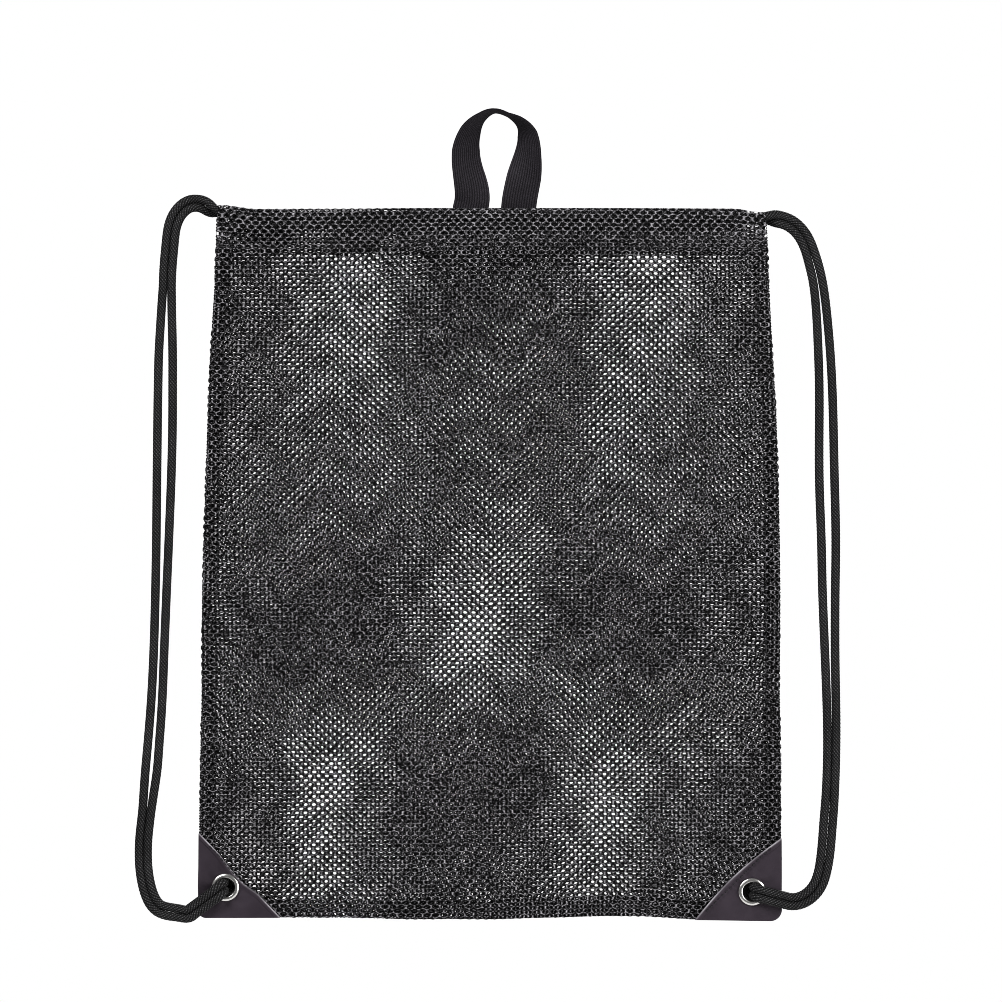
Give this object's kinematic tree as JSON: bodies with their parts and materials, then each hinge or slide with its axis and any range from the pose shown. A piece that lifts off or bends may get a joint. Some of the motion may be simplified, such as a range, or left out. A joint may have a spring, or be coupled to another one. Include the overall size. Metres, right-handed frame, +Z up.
{
  "type": "drawstring backpack",
  "caption": "Flat drawstring backpack in black open knitted mesh, with doubled cord shoulder straps, coated corner patches with eyelets and a twisted webbing hang loop.",
  "frame": {"origin": "middle of the bag's bottom edge, midway between the front and back panels", "axes": "+Z up along the bag's height towards the casings and hang loop; -Y out of the front panel; +X to the right as seen from the front"},
  "size_m": [0.4513, 0.0276, 0.519],
  "materials": {
    "knitted_mesh": "open knitted polyester mesh, black with grey highlights on the yarn",
    "cord": "round braided polyester cord, black, soft sheen",
    "webbing": "ribbed narrow webbing, black",
    "coated_fabric": "coated fabric with a fine smooth grain, dark charcoal, satin",
    "nickel": "bright nickel plating",
    "thread": "polyester sewing thread, black"
  },
  "bodies": {
    "bag": {"front_panel": "knitted_mesh", "back_panel": "knitted_mesh", "left_front_patch": "coated_fabric", "left_back_patch": "coated_fabric", "right_front_patch": "coated_fabric", "right_back_patch": "coated_fabric", "left_eyelet": "nickel", "right_eyelet": "nickel", "left_eyelet_washer": "nickel", "right_eyelet_washer": "nickel", "left_cord_front_run": "cord", "left_cord_back_run": "cord", "left_cord_outer_tail": "cord", "left_cord_inner_tail": "cord", "left_cord_knot": "cord", "right_cord_front_run": "cord", "right_cord_back_run": "cord", "right_cord_outer_tail": "cord", "right_cord_inner_tail": "cord", "right_cord_knot": "cord", "hang_loop_left_end": "webbing", "hang_loop_right_end": "webbing", "front_casing_stitch": "thread", "back_casing_stitch": "thread", "bottom_seam_thread": "thread", "hang_loop_tack": "thread", "left_side_seam_thread": "thread", "right_side_seam_thread": "thread", "left_patch_thread": "thread", "right_patch_thread": "thread"},
    "left_mouth_corner": {"right_cord_bend": "cord"},
    "right_mouth_corner": {"left_cord_bend": "cord"},
    "left_strap": {"left_strap_outer_strand": "cord", "left_strap_inner_strand": "cord"},
    "right_strap": {"right_strap_outer_strand": "cord", "right_strap_inner_strand": "cord"},
    "hang_loop": {"hang_loop": "webbing"}
  },
  "joints": [
    {"name": "mouth_cinch_left", "type": "slide", "parent": "bag", "child": "left_mouth_corner", "axis": [1, 0, 0], "range_m": [0, 0.1], "deforming": ["front_panel", "back_panel", "right_cord_front_run", "right_cord_back_run", "front_casing_stitch", "back_casing_stitch"]},
    {"name": "mouth_cinch_right", "type": "slide", "parent": "bag", "child": "right_mouth_corner", "axis": [-1, 0, 0], "range_m": [0, 0.1], "deforming": ["left_cord_front_run", "left_cord_back_run"]},
    {"name": "left_strap_swing", "type": "hinge", "parent": "bag", "child": "left_strap", "pos_m": [-0.1905, 0, 0.4596], "axis": [0.0143, 0.013, 0.9998], "range_deg": [-100, 100], "stiffness_Nm_per_rad": 0.001},
    {"name": "right_strap_swing", "type": "hinge", "parent": "bag", "child": "right_strap", "pos_m": [0.1905, 0, 0.448], "axis": [0.0149, -0.0136, -0.9998], "range_deg": [-100, 100], "stiffness_Nm_per_rad": 0.001},
    {"name": "hang_loop_fold", "type": "hinge", "parent": "bag", "child": "hang_loop", "pos_m": [0.0035, 0.0039, 0.4588], "axis": [1, 0, 0], "range_deg": [-85, 70], "stiffness_Nm_per_rad": 0.002}
  ],
  "couplings": [
    {"joint": "mouth_cinch_right", "follows": "mouth_cinch_left", "ratio": 1}
  ]
}
